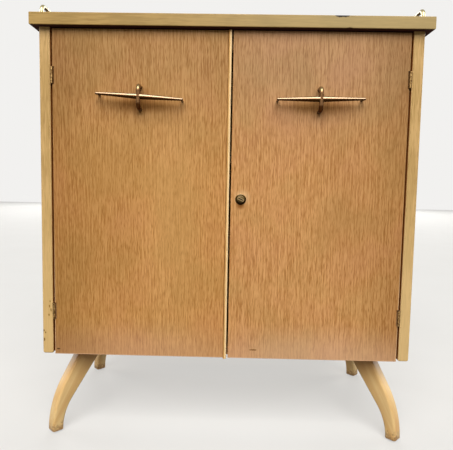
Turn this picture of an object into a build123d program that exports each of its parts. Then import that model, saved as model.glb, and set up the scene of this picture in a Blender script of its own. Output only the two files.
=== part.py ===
"""Two-door media cabinet on four splayed sabre legs, as separate joinery and hardware.

Millimetres. X runs to the right, Y from front to back, Z up from the floor.
The origin is on the floor, in the middle of the cabinet's width and overall depth.
"""

from build123d import *
from math import cos, radians, sin
import os

os.makedirs("parts", exist_ok=True)

# Driving dimensions of the case
top_width = 914.0
top_depth = 457.0
top_thickness = 28.0
overall_height = 1003.0
top_overhang = 17.0
end_overhang = 16.0
side_thickness = 25.5
side_bottom = 206.0
board_thickness = 19.0
back_thickness = 5.0
lipping_depth = 10.0
side_lipping_depth = 19.0

# Driving dimensions of the doors and their hardware
door_thickness = 19.0
door_top_gap = 2.5
door_bottom = 205.0
hinge_gap = 4.2
strip_width = 7.9
strip_proud = 4.0
strip_drop = 2.5
meeting_gap = 3.9
meeting_offset = 1.2
buffer_gap = 2.0
handle_reach = 32.0
handle_height = 817.0
handle_tilt_left = 3.3
handle_tilt_right = -0.9

# Places that follow from them
body_half = top_width / 2 - end_overhang
inner_half = body_half - side_thickness
body_front = -(top_depth - top_overhang + handle_reach) / 2 + handle_reach
body_back = body_front + top_depth - top_overhang
top_front = body_front - top_overhang
top_underside = overall_height - top_thickness
door_back = body_front + door_thickness
carcass_front = door_back + buffer_gap
back_panel_front = body_back - back_thickness
floor_bottom = side_bottom
floor_top = floor_bottom + board_thickness
door_top = top_underside - door_top_gap
door_half = inner_half - hinge_gap
left_door_edge = meeting_offset - (strip_width + meeting_gap) / 2
strip_edge = left_door_edge + strip_width
right_door_edge = strip_edge + meeting_gap


def rectangle_between(left, right, front, back):
    """Draw a rectangle by its four sides in the current sketch."""
    with Locations(((left + right) / 2, (front + back) / 2)):
        Rectangle(right - left, back - front)


def wood_screw(head_diameter, shank_diameter, length):
    """A countersunk screw whose head lies at the origin and whose shank runs down -Z."""
    head_radius = head_diameter / 2
    shank_radius = shank_diameter / 2
    with BuildPart() as screw:
        with BuildSketch(Plane.XZ):
            with BuildLine():
                Polyline(
                    (0, 0),
                    (head_radius, 0),
                    (shank_radius, shank_radius - head_radius),
                    (shank_radius, -length),
                    (0, -length),
                    close=True,
                )
            make_face()
        revolve(axis=Axis.Z)
    return screw.part


def facing(x, y, z, direction):
    """A plane at a point, looking along a direction, for a screw head or a hole."""
    return Plane(origin=(x, y, z), z_dir=direction)


left, right, front, back, up, down = (-1, 0, 0), (1, 0, 0), (0, -1, 0), (0, 1, 0), (0, 0, 1), (0, 0, -1)

# Case joints: dowels from the floor panel and the two top rails into the sides
dowel_diameter = 8.0
dowel_length = 30.0
rail_height = 42.0
rail_bottom = top_underside - rail_height
front_rail_back = carcass_front + board_thickness
rear_rail_front = back_panel_front - board_thickness
floor_dowel_places = [(y, floor_bottom + board_thickness / 2) for y in (-150.0, 24.0, 198.0)]
rail_middle = rail_bottom + rail_height / 2
rail_dowel_places = [
    (carcass_front + board_thickness / 2, rail_middle),
    (rear_rail_front + board_thickness / 2, rail_middle),
]

with BuildPart() as case_dowels:
    for side in (-1, 1):
        for y, z in floor_dowel_places + rail_dowel_places:
            with Locations(facing(side * inner_half, y, z, right)):
                Cylinder(dowel_diameter / 2, dowel_length)

# Butt hinges: brass leaves folded round a fixed pin, which stands a little proud of the doors
hinge_height = 37.0
hinge_bottoms = (292.7, 848.3)
leaf_thickness = 1.9
leaf_width = 15.0
knuckle_radius = 3.2
knuckle_count = 5
knuckle_end_gap = 0.2
pin_radius = 1.5
pin_running_fit = 0.08
leaf_clear = 1.1
pin_proud = 1.5
pin_head_radius = 2.6
pin_head_height = 0.6
pin_x = inner_half - knuckle_radius
pin_y = body_front - pin_proud
knuckle_length = hinge_height / knuckle_count
leaf_start = knuckle_radius + leaf_clear
leaf_screw_heights = (8.5, 28.5)
leaf_screw_depth = leaf_start + leaf_width * 0.55


def hinge_leaf(outer_face, first_knuckle, bore_radius, end_gap):
    """One leaf about a pin on the Z axis; its back lies on the plane x = outer_face."""
    inner_face = outer_face - leaf_thickness if outer_face > 0 else outer_face + leaf_thickness
    near, far = sorted((outer_face, inner_face))
    with BuildPart() as leaf:
        with BuildSketch(Plane.YZ.offset(near)):
            with Locations((leaf_start + leaf_width / 2, hinge_height / 2)):
                RectangleRounded(leaf_width, hinge_height, 1.0)
        extrude(amount=leaf_thickness)
        for index in range(first_knuckle, knuckle_count, 2):
            low = index * knuckle_length + end_gap
            with BuildSketch(Plane.XY.offset(low)):
                Circle(knuckle_radius)
                rectangle_between(near, far, 0, leaf_start + 1)
            extrude(amount=knuckle_length - 2 * end_gap)
        with BuildSketch():
            Circle(bore_radius)
        extrude(amount=hinge_height, mode=Mode.SUBTRACT)
    return leaf.part


frame_leaf = hinge_leaf(pin_x - inner_half, 0, pin_radius, 0.0)
door_leaf = hinge_leaf(pin_x - door_half, 1, pin_radius + pin_running_fit, knuckle_end_gap)
hinge_screw = wood_screw(5.6, 3.0, 18.0)

with BuildPart() as hinge_pin_blank:
    Cylinder(pin_radius, hinge_height, align=(Align.CENTER, Align.CENTER, Align.MIN))
    with Locations((0, 0, -pin_head_height), (0, 0, hinge_height)):
        Cylinder(pin_head_radius, pin_head_height, align=(Align.CENTER, Align.CENTER, Align.MIN))
    chamfer(hinge_pin_blank.edges().group_by(Axis.Z)[-1], pin_head_height / 2)
    chamfer(hinge_pin_blank.edges().group_by(Axis.Z)[0], pin_head_height / 2)

with BuildPart() as hinge_pins:
    for side in (-1, 1):
        for z in hinge_bottoms:
            with Locations((side * pin_x, pin_y, z)):
                add(hinge_pin_blank.part)


def hinge_screws(side, face_x, direction):
    """Screws of the two leaves on one face of one side, heads towards direction."""
    with BuildPart() as screws:
        for hinge_bottom in hinge_bottoms:
            for height in leaf_screw_heights:
                with Locations(facing(side * face_x, pin_y + leaf_screw_depth, hinge_bottom + height, direction)):
                    add(hinge_screw)
    return screws.part


frame_leaf_face = inner_half - leaf_thickness
door_leaf_face = door_half + leaf_thickness
with BuildPart() as hinge_frame_screws:
    add(hinge_screws(-1, frame_leaf_face, right))
    add(hinge_screws(1, frame_leaf_face, left))
with BuildPart() as left_hinge_door_screws:
    add(hinge_screws(-1, door_leaf_face, left))
with BuildPart() as right_hinge_door_screws:
    add(hinge_screws(1, door_leaf_face, right))

with BuildPart() as hinge_frame_leaves:
    for z in hinge_bottoms:
        with Locations((-pin_x, pin_y, z)):
            add(frame_leaf)
        with Locations((pin_x, pin_y, z)):
            add(frame_leaf.mirror(Plane.YZ))
    add(hinge_frame_screws.part, mode=Mode.SUBTRACT)
with BuildPart() as left_hinge_door_leaves:
    for z in hinge_bottoms:
        with Locations((-pin_x, pin_y, z)):
            add(door_leaf)
    add(left_hinge_door_screws.part, mode=Mode.SUBTRACT)
with BuildPart() as right_hinge_door_leaves:
    for z in hinge_bottoms:
        with Locations((pin_x, pin_y, z)):
            add(door_leaf.mirror(Plane.YZ))
    add(right_hinge_door_screws.part, mode=Mode.SUBTRACT)

# Shelf supports: plated pegs with a small ledge, four under each shelf
shelf_tops = (455.0, 690.0)
shelf_front = carcass_front + 23.0
shelf_back = back_panel_front - 5.0
shelf_side_gap = 1.0
peg_radius = 2.5
peg_depth = 9.0
ledge_reach = 12.0
ledge_width = 10.0
support_rows = (shelf_front + 45.0, shelf_back - 45.0)

with BuildPart() as shelf_support:
    with BuildSketch(Plane.XZ):
        with BuildLine():
            Polyline(
                (0, 0),
                (ledge_reach, 0),
                (ledge_reach, -2.0),
                (1.5, -2.0),
                (1.5, -11.0),
                (0, -11.0),
                close=True,
            )
        make_face()
    extrude(amount=ledge_width / 2, both=True)
    with BuildSketch(Plane.YZ):
        with Locations((0, -6.0)):
            Circle(peg_radius)
    extrude(amount=-peg_depth)

with BuildPart() as shelf_supports:
    for shelf_top in shelf_tops:
        for y in support_rows:
            with Locations((-inner_half, y, shelf_top - board_thickness)):
                add(shelf_support.part)
            with Locations((inner_half, y, shelf_top - board_thickness)):
                add(shelf_support.part.mirror(Plane.YZ))

# Sides: veneered boards, rebated for the back, with a solid lipping on the front edge
rebate_width = 10.0
lipping_back = body_front + side_lipping_depth
front_edge_radius = 3.0
side_foot_radius = 5.0

with BuildPart() as left_side_panel:
    with BuildSketch(Plane.XY.offset(side_bottom)):
        rectangle_between(-body_half, -inner_half, lipping_back, body_back)
        with Locations((-inner_half, body_back)):
            Rectangle(2 * rebate_width, 2 * back_thickness, mode=Mode.SUBTRACT)
    extrude(amount=top_underside - side_bottom)
    add(case_dowels.part, mode=Mode.SUBTRACT)
    add(shelf_supports.part, mode=Mode.SUBTRACT)
with BuildPart() as right_side_panel:
    mirror(left_side_panel.part, about=Plane.YZ)

with BuildPart() as left_side_lipping:
    with BuildSketch(Plane.XY.offset(side_bottom)):
        rectangle_between(-body_half, -inner_half, body_front, lipping_back)
    extrude(amount=top_underside - side_bottom)
    foot_edges = left_side_lipping.faces().sort_by(Axis.Z)[0].edges().filter_by(Axis.Y)
    fillet(foot_edges, side_foot_radius)
    front_face = left_side_lipping.faces().sort_by(Axis.Y)[0]
    fillet(front_face.edges().filter_by(Axis.Z), front_edge_radius)
    add(hinge_frame_screws.part, mode=Mode.SUBTRACT)
with BuildPart() as right_side_lipping:
    mirror(left_side_lipping.part, about=Plane.YZ)

# Magnetic catches under the front rail, one for each door, with steel keeps on the doors
catch_x = 90.0
catch_half = 20.0
catch_ear = 8.0
catch_height = 12.0
catch_depth = 17.0
catch_front = carcass_front - 0.4
catch_screw = wood_screw(5.6, 3.0, 14.0)
fitting_screw = wood_screw(5.0, 2.6, 12.0)

with BuildPart() as catch_screws:
    for side in (-1, 1):
        for ear in (-1, 1):
            x = side * catch_x + ear * (catch_half + catch_ear / 2)
            with Locations(facing(x, catch_front + catch_depth / 2, rail_bottom - 3.0, down)):
                add(catch_screw)
with BuildPart() as magnetic_catches:
    with BuildSketch(Plane.XZ.offset(-catch_front)):
        for side in (-1, 1):
            with BuildLine():
                Polyline(
                    (side * catch_x - catch_half - catch_ear, rail_bottom),
                    (side * catch_x - catch_half - catch_ear, rail_bottom - 3.0),
                    (side * catch_x - catch_half, rail_bottom - 3.0),
                    (side * catch_x - catch_half, rail_bottom - catch_height),
                    (side * catch_x + catch_half, rail_bottom - catch_height),
                    (side * catch_x + catch_half, rail_bottom - 3.0),
                    (side * catch_x + catch_half + catch_ear, rail_bottom - 3.0),
                    (side * catch_x + catch_half + catch_ear, rail_bottom),
                    close=True,
                )
            make_face()
    extrude(amount=-catch_depth)
    add(catch_screws.part, mode=Mode.SUBTRACT)

# Keeper of the left door's bolt, a brass block with a square hole, under the front rail
bolt_x = -30.0
bolt_y = door_back + 9.0
bolt_radius = 3.0
keeper_hole = 8.0
with BuildPart() as bolt_keeper:
    with BuildSketch(Plane.XY.offset(rail_bottom - catch_height)):
        with Locations((bolt_x, bolt_y)):
            Rectangle(24.0, 14.0)
            Rectangle(keeper_hole, keeper_hole, mode=Mode.SUBTRACT)
    extrude(amount=catch_height)

# Felt buffers that the doors close on
buffer_thickness = buffer_gap - 0.3
with BuildPart() as door_buffers:
    with BuildSketch(Plane.XZ.offset(-carcass_front)):
        for x in (-200.0, 200.0):
            for z in (floor_bottom + board_thickness / 2, rail_middle):
                with Locations((x, z)):
                    Circle(5.0)
    extrude(amount=buffer_thickness)

# Top rails, screwed up into the top through deep counterbores
top_screw_recess = 20.0
top_screw_y = (carcass_front + board_thickness / 2, rear_rail_front + board_thickness / 2)
top_screw_x = (-320.0, 0.0, 320.0)
top_screw = wood_screw(8.0, 4.5, 40.0)
with BuildPart() as top_screws:
    for x in top_screw_x:
        for y in top_screw_y:
            with Locations(facing(x, y, rail_bottom + top_screw_recess, down)):
                add(top_screw)


def top_rail(rail_front):
    """One rail between the sides, with counterbores for its three screws."""
    with BuildPart() as rail:
        with BuildSketch(Plane.XY.offset(rail_bottom)):
            rectangle_between(-inner_half, inner_half, rail_front, rail_front + board_thickness)
        extrude(amount=rail_height)
        with Locations(*[facing(x, rail_front + board_thickness / 2, rail_bottom, down) for x in top_screw_x]):
            CounterBoreHole(2.25, 4.5, top_screw_recess)
        add(top_screws.part, mode=Mode.SUBTRACT)
        add(case_dowels.part, mode=Mode.SUBTRACT)
        add(catch_screws.part, mode=Mode.SUBTRACT)
    return rail.part


with BuildPart() as front_top_rail:
    add(top_rail(carcass_front))
with BuildPart() as rear_top_rail:
    add(top_rail(rear_rail_front))

# Sabre legs: sawn from the plank to a curved profile, splayed out to the corners at 45 degrees
foot_x = 420.0
foot_y = body_front + 22.5
glide_height = 3.0
leg_top = floor_bottom - 12.0
leg_width = 30.0
outer_radius = 235.0
outer_turn = 32.0
inner_radius = 125.0
inner_turn = 38.0
foot_half = 14.0
leg_edge_radius = 6.0
leg_plane = Plane(origin=(-foot_x, foot_y, 0), x_dir=(1, 1, 0), z_dir=(1, -1, 0))

with BuildPart() as front_left_leg:
    with BuildSketch(leg_plane):
        with BuildLine():
            outer = JernArc((-foot_half, glide_height), (0, 1), outer_radius, -outer_turn)
            outer_run = (leg_top - (outer @ 1).Y) / cos(radians(outer_turn))
            outer_line = Line(outer @ 1, outer @ 1 + (outer % 1) * outer_run)
            inner = JernArc((foot_half, glide_height), (0, 1), inner_radius, -inner_turn)
            inner_run = (leg_top - (inner @ 1).Y) / cos(radians(inner_turn))
            inner_line = Line(inner @ 1, inner @ 1 + (inner % 1) * inner_run)
            Line(outer_line @ 1, inner_line @ 1)
            Line(outer @ 0, inner @ 0)
        make_face()
    extrude(amount=leg_width / 2, both=True)
    long_edges = front_left_leg.edges().filter_by(lambda edge: edge.bounding_box().size.Z > 5)
    fillet(long_edges, leg_edge_radius)
    chamfer(front_left_leg.faces().sort_by(Axis.Z)[0].edges(), 1.2)

leg_top_reach = ((outer_line @ 1).X + (inner_line @ 1).X) / 2 / 2**0.5
leg_head = (foot_x - leg_top_reach, foot_y + leg_top_reach)
middle_plane = Plane.XZ.offset(-(body_front + body_back) / 2)
leg_corners = [(side, end) for side in (-1, 1) for end in (-1, 1)]
head_places = [(side * leg_head[0], (body_front + body_back) / 2 + end * ((body_front + body_back) / 2 - leg_head[1])) for side, end in leg_corners]
foot_places = [(side * foot_x, (body_front + body_back) / 2 + end * ((body_front + body_back) / 2 - foot_y)) for side, end in leg_corners]

# Hanger bolts hold each leg up against a hardwood block that is screwed under the floor panel
hanger_radius = 4.0
with BuildPart() as leg_bolts:
    for x, y in head_places:
        with Locations((x, y, floor_bottom)):
            Cylinder(hanger_radius, 36.0, align=(Align.CENTER, Align.CENTER, Align.MAX))

block_size = 100.0
block_corner = 12.0
block_screw_inset = 36.0
block_screw = wood_screw(7.0, 4.0, 26.0)
with BuildPart() as leg_block_screws:
    for x, y in head_places:
        for step in (-1, 1):
            with Locations(facing(x + step * block_screw_inset, y + step * block_screw_inset * (-1 if x * y > 0 else 1), leg_top, down)):
                add(block_screw)
with BuildPart() as leg_blocks:
    with BuildSketch(Plane.XY.offset(leg_top)):
        with Locations(*head_places):
            Rectangle(block_size, block_size)
    extrude(amount=floor_bottom - leg_top)
    chamfer(leg_blocks.edges().filter_by(Axis.Z), block_corner)
    add(leg_bolts.part, mode=Mode.SUBTRACT)
    add(leg_block_screws.part, mode=Mode.SUBTRACT)

glide_radius = 9.0
nail_radius = 1.5
nail_length = 18.0
with BuildPart() as glide:
    with BuildSketch(Plane.XZ):
        with BuildLine():
            Polyline(
                (0, 0),
                (glide_radius - 1.5, 0),
                (glide_radius, 1.5),
                (glide_radius, glide_height),
                (nail_radius, glide_height),
                (nail_radius, nail_length),
                (0, nail_length),
                close=True,
            )
        make_face()
    revolve(axis=Axis.Z)
with BuildPart() as leg_glides:
    for x, y in foot_places:
        with Locations((x, y, 0)):
            add(glide.part)

with BuildPart() as drilled_leg:
    add(front_left_leg.part)
    add(leg_bolts.part, mode=Mode.SUBTRACT)
    add(leg_glides.part, mode=Mode.SUBTRACT)
front_left_leg = drilled_leg
with BuildPart() as front_right_leg:
    mirror(front_left_leg.part, about=Plane.YZ)
with BuildPart() as back_left_leg:
    mirror(front_left_leg.part, about=middle_plane)
with BuildPart() as back_right_leg:
    mirror(back_left_leg.part, about=Plane.YZ)

# Floor panel, shelves and back
with BuildPart() as floor_panel:
    with BuildSketch(Plane.XY.offset(floor_bottom)):
        rectangle_between(-inner_half, inner_half, carcass_front, back_panel_front)
    extrude(amount=board_thickness)
    add(case_dowels.part, mode=Mode.SUBTRACT)
    add(leg_block_screws.part, mode=Mode.SUBTRACT)


def shelf(shelf_top):
    """An adjustable shelf with a slightly rounded front edge."""
    with BuildPart() as board:
        with BuildSketch(Plane.XY.offset(shelf_top - board_thickness)):
            rectangle_between(-inner_half + shelf_side_gap, inner_half - shelf_side_gap, shelf_front, shelf_back)
        extrude(amount=board_thickness)
        fillet(board.faces().sort_by(Axis.Y)[0].edges().filter_by(Axis.X), 2.0)
    return board.part


with BuildPart() as lower_shelf:
    add(shelf(shelf_tops[0]))
with BuildPart() as upper_shelf:
    add(shelf(shelf_tops[1]))

back_screw = wood_screw(6.0, 3.0, 20.0)
back_half = inner_half + rebate_width - 0.5
with BuildPart() as back_panel_screws:
    for x in (-350.0, -120.0, 120.0, 350.0):
        for z in (floor_bottom + board_thickness / 2, rail_middle):
            with Locations(facing(x, body_back, z, back)):
                add(back_screw)
with BuildPart() as back_panel:
    with BuildSketch(Plane.XZ.offset(-back_panel_front)):
        rectangle_between(-back_half, back_half, floor_bottom, top_underside)
    extrude(amount=-back_thickness)
    add(back_panel_screws.part, mode=Mode.SUBTRACT)
with BuildPart() as drilled_floor:
    add(floor_panel.part)
    add(back_panel_screws.part, mode=Mode.SUBTRACT)
floor_panel = drilled_floor
with BuildPart() as drilled_rail:
    add(rear_top_rail.part)
    add(back_panel_screws.part, mode=Mode.SUBTRACT)
rear_top_rail = drilled_rail

# Brass gallery rails that run from front to back along both ends of the top
rail_radius = 4.5
gallery_height = 31.0
gallery_x = top_width / 2 - 16.0
gallery_front = top_front + 36.0
gallery_back = body_back - 36.0
gallery_bend = 12.0
stud_radius = 2.5
stud_depth = 16.0
gallery_plane = Plane(origin=(-gallery_x, 0, overall_height), x_dir=(0, 1, 0), z_dir=(1, 0, 0))
with BuildPart() as left_gallery_rail:
    with BuildLine(gallery_plane) as gallery_path:
        FilletPolyline(
            (gallery_front, 0),
            (gallery_front, gallery_height - rail_radius),
            (gallery_back, gallery_height - rail_radius),
            (gallery_back, 0),
            radius=gallery_bend,
        )
    with BuildSketch(Plane.XY.offset(overall_height)):
        with Locations((-gallery_x, gallery_front)):
            Circle(rail_radius)
    sweep(path=gallery_path.line)
    with BuildSketch(Plane.XY.offset(overall_height)):
        with Locations((-gallery_x, gallery_front), (-gallery_x, gallery_back)):
            Circle(stud_radius)
    extrude(amount=-stud_depth)
with BuildPart() as right_gallery_rail:
    mirror(left_gallery_rail.part, about=Plane.YZ)

rosette_radius = 9.0
rosette_height = 3.5
with BuildPart() as rosette:
    with BuildSketch(Plane.XZ):
        with BuildLine():
            base = Polyline((rail_radius, 0), (rosette_radius, 0), (rosette_radius, 1.0))
            crown = Line(base @ 1, (rail_radius + 1.0, rosette_height))
            Polyline(crown @ 1, (rail_radius, rosette_height), (rail_radius, 0))
        make_face()
    revolve(axis=Axis.Z)
with BuildPart() as gallery_rosettes:
    for side in (-1, 1):
        for y in (gallery_front, gallery_back):
            with Locations((side * gallery_x, y, overall_height)):
                add(rosette.part)

# Top: a veneered board with solid lippings mitred round the front and both ends
top_edge_radius = 2.0
with BuildPart() as top_panel:
    with BuildSketch(Plane.XY.offset(top_underside)):
        rectangle_between(-top_width / 2 + lipping_depth, top_width / 2 - lipping_depth, top_front + lipping_depth, body_back)
    extrude(amount=top_thickness)
    add(top_screws.part, mode=Mode.SUBTRACT)
    add(left_gallery_rail.part, mode=Mode.SUBTRACT)
    add(right_gallery_rail.part, mode=Mode.SUBTRACT)
with BuildPart() as top_front_lipping:
    with BuildSketch(Plane.XY.offset(top_underside)):
        with BuildLine():
            Polyline(
                (-top_width / 2, top_front),
                (top_width / 2, top_front),
                (top_width / 2 - lipping_depth, top_front + lipping_depth),
                (-top_width / 2 + lipping_depth, top_front + lipping_depth),
                close=True,
            )
        make_face()
    extrude(amount=top_thickness)
    fillet(top_front_lipping.faces().sort_by(Axis.Y)[0].edges().filter_by(Axis.X), top_edge_radius)
with BuildPart() as top_left_lipping:
    with BuildSketch(Plane.XY.offset(top_underside)):
        with BuildLine():
            Polyline(
                (-top_width / 2, top_front),
                (-top_width / 2 + lipping_depth, top_front + lipping_depth),
                (-top_width / 2 + lipping_depth, body_back),
                (-top_width / 2, body_back),
                close=True,
            )
        make_face()
    extrude(amount=top_thickness)
    fillet(top_left_lipping.faces().sort_by(Axis.X)[0].edges().filter_by(Axis.Y), top_edge_radius)
with BuildPart() as top_right_lipping:
    mirror(top_left_lipping.part, about=Plane.YZ)

# Door pulls: an arched bow bolted through the door, crossed by a turned spindle bar on two posts
handle_x = 206.5
bow_radius = 5.0
bow_out = handle_reach - bow_radius
bow_half = 25.0
bow_bend = 12.0
bar_half = 100.0
bar_straight_half = 10.0
bar_out = 25.0
bar_radius = 6.3
bar_tip_radius = 3.0
bar_shift_left = 2.0
post_inset = 4.0
post_radius = 2.8
spigot_radius = 1.5
spigot_depth = 6.0
handle_bolt_radius = 2.0
handle_bolt_depth = 9.0
bolt_hole_radius = 2.3


def handle_bow(x):
    """The arch: two feet on the door, tapped from behind, and a straight strand between them."""
    bow_plane = Plane(origin=(x, body_front, handle_height), x_dir=(0, 0, 1), z_dir=(1, 0, 0))
    with BuildPart() as bow:
        with BuildLine(bow_plane) as arch:
            FilletPolyline((-bow_half, 0), (-bow_half, bow_out), (bow_half, bow_out), (bow_half, 0), radius=bow_bend)
        with BuildSketch(Plane(origin=arch.line @ 0, z_dir=arch.line % 0)):
            Circle(bow_radius)
        sweep(path=arch.line)
        with Locations(*[facing(x, body_front, handle_height + end * bow_half, back) for end in (-1, 1)]):
            Hole(handle_bolt_radius, handle_bolt_depth)
    return bow.part


def handle_bar(x, tilt, bow):
    """The spindle: thickest in the middle, halved over the bow, with a post near each tip."""
    along = (cos(radians(tilt)), 0, -sin(radians(tilt)))
    face_plane = Plane(origin=(x, body_front, handle_height), x_dir=along, z_dir=front)
    axis_plane = face_plane.offset(bar_out)
    with BuildPart() as bar:
        with BuildSketch(axis_plane):
            with BuildLine():
                Polyline(
                    (-bar_half, 0),
                    (-bar_half, bar_tip_radius),
                    (-bar_straight_half, bar_radius),
                    (bar_straight_half, bar_radius),
                    (bar_half, bar_tip_radius),
                    (bar_half, 0),
                    close=True,
                )
            make_face()
        revolve(axis=Axis(axis_plane.origin, axis_plane.x_dir))
        tips = bar.edges().filter_by(GeomType.CIRCLE).sort_by(Axis.X)
        chamfer([tips[0], tips[-1]], bar_tip_radius / 2)
        with BuildSketch(face_plane):
            with Locations((post_inset - bar_half, 0), (bar_half - post_inset, 0)):
                Circle(post_radius)
        extrude(amount=bar_out)
        with BuildSketch(face_plane):
            with Locations((post_inset - bar_half, 0), (bar_half - post_inset, 0)):
                Circle(spigot_radius)
        extrude(amount=-spigot_depth)
        add(bow, mode=Mode.SUBTRACT)
    return bar.part


with BuildPart() as handle_bolt:
    Cylinder(4.0, 2.6, align=(Align.CENTER, Align.CENTER, Align.MIN))
    Cylinder(handle_bolt_radius, door_thickness + handle_bolt_depth - 1.0, align=(Align.CENTER, Align.CENTER, Align.MAX))
    chamfer(handle_bolt.edges().group_by(Axis.Z)[-1], 1.0)


def handle_bolts(x):
    """Two machine screws through the door into the feet of one bow."""
    with BuildPart() as bolts:
        with Locations(*[facing(x, door_back, handle_height + end * bow_half, back) for end in (-1, 1)]):
            add(handle_bolt.part)
    return bolts.part


with BuildPart() as left_handle_bow:
    add(handle_bow(-handle_x))
with BuildPart() as right_handle_bow:
    add(handle_bow(handle_x))
with BuildPart() as left_handle_bar:
    add(handle_bar(bar_shift_left - handle_x, handle_tilt_left, left_handle_bow.part))
with BuildPart() as right_handle_bar:
    add(handle_bar(handle_x, handle_tilt_right, right_handle_bow.part))
with BuildPart() as left_handle_screws:
    add(handle_bolts(-handle_x))
with BuildPart() as right_handle_screws:
    add(handle_bolts(handle_x))

# Catch plates, lock keeper and bolt plate, all screwed to the backs of the doors
plate_thickness = 1.5
catch_plate_thickness = 1.2
catch_plate_z = rail_bottom - catch_height / 2
lock_x = 30.6
lock_z = 588.0
keeper_left = -46.0
keeper_step = -25.0
keeper_right = -2.0
keeper_height = 30.0
tongue_back = door_back + 9.3
bolt_plate_width = 22.0
bolt_plate_bottom = 866.0
bolt_plate_top = 914.0
guide_height = 8.0
guide_width = 12.0
guide_bottoms = (872.0, 900.0)
bolt_fit = 0.1
bolt_top = 919.0
knob_height = 886.0

with BuildPart() as left_fitting_screws:
    with Locations(facing(-catch_x, door_back + catch_plate_thickness, catch_plate_z, back)):
        add(fitting_screw)
    for step in (-1, 1):
        with Locations(facing((keeper_left + keeper_step) / 2, door_back + plate_thickness, lock_z + step * 9.0, back)):
            add(fitting_screw)
        with Locations(facing(bolt_x + step * (bolt_plate_width / 2 - 3.5), door_back + plate_thickness, 890.0, back)):
            add(fitting_screw)
with BuildPart() as right_fitting_screws:
    with Locations(facing(catch_x, door_back + catch_plate_thickness, catch_plate_z, back)):
        add(fitting_screw)
with BuildPart() as left_catch_plate:
    with BuildSketch(Plane.XZ.offset(-door_back)):
        with Locations((-catch_x, catch_plate_z)):
            RectangleRounded(32.0, 13.0, 2.0)
    extrude(amount=-catch_plate_thickness)
    add(left_fitting_screws.part, mode=Mode.SUBTRACT)
with BuildPart() as right_catch_plate:
    mirror(left_catch_plate.part, about=Plane.YZ)
with BuildPart() as lock_keeper:
    with BuildSketch(Plane.XY.offset(lock_z - keeper_height / 2)):
        with BuildLine():
            Polyline(
                (keeper_left, door_back),
                (keeper_step, door_back),
                (keeper_step, tongue_back - plate_thickness),
                (keeper_right, tongue_back - plate_thickness),
                (keeper_right, tongue_back),
                (keeper_step - plate_thickness, tongue_back),
                (keeper_step - plate_thickness, door_back + plate_thickness),
                (keeper_left, door_back + plate_thickness),
                close=True,
            )
        make_face()
    extrude(amount=keeper_height)
    add(left_fitting_screws.part, mode=Mode.SUBTRACT)
with BuildPart() as bolt_plate:
    with BuildSketch(Plane.XZ.offset(-door_back)):
        rectangle_between(bolt_x - bolt_plate_width / 2, bolt_x + bolt_plate_width / 2, bolt_plate_bottom, bolt_plate_top)
    extrude(amount=-plate_thickness)
    for guide_bottom in guide_bottoms:
        with BuildSketch(Plane.XY.offset(guide_bottom)):
            with BuildLine():
                Polyline(
                    (bolt_x - guide_width / 2, bolt_y),
                    (bolt_x - guide_width / 2, door_back),
                    (bolt_x + guide_width / 2, door_back),
                    (bolt_x + guide_width / 2, bolt_y),
                )
                ThreePointArc(
                    (bolt_x + guide_width / 2, bolt_y),
                    (bolt_x, bolt_y + guide_width / 2),
                    (bolt_x - guide_width / 2, bolt_y),
                )
            make_face()
        extrude(amount=guide_height)
    with BuildSketch(Plane.XY.offset(bolt_plate_bottom)):
        with Locations((bolt_x, bolt_y)):
            Circle(bolt_radius + bolt_fit)
    extrude(amount=bolt_plate_top - bolt_plate_bottom, mode=Mode.SUBTRACT)
    add(left_fitting_screws.part, mode=Mode.SUBTRACT)

# The bolt slides up through both guides into the keeper; its knob moves between them
with BuildPart() as left_door_bolt:
    with BuildSketch(Plane.XY.offset(guide_bottoms[0] + 1.0)):
        with Locations((bolt_x, bolt_y)):
            Circle(bolt_radius)
    extrude(amount=bolt_top - guide_bottoms[0] - 1.0)
    chamfer(left_door_bolt.faces().sort_by(Axis.Z)[-1].edges(), 0.8)
    with BuildSketch(Plane.XZ.offset(-bolt_y)):
        with Locations((bolt_x, knob_height)):
            Circle(2.5)
    extrude(amount=-11.0)
    chamfer(left_door_bolt.faces().sort_by(Axis.Y)[-1].edges(), 0.8)

# Cylinder lock in the right door: bezel, barrel, nut, turning plug and cam
bezel_radius = 12.75
bezel_proud = 3.0
barrel_radius = 11.0
barrel_back = door_back + 9.0
plug_radius = 8.4
plug_fit = 0.1
plug_proud = 5.0
keyway_length = 13.0
keyway_width = 2.4
keyway_angle = -25.0
cam_thickness = 2.0
cam_front = barrel_back + 1.1
cam_length = 37.0
tail_width = 8.0
lock_plane = Plane(origin=(lock_x, body_front, lock_z), x_dir=(1, 0, 0), z_dir=front)


def lock_level(y):
    """The lock's plane moved to a depth, still looking out of the front."""
    return Plane(origin=(lock_x, y, lock_z), x_dir=(1, 0, 0), z_dir=front)


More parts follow.
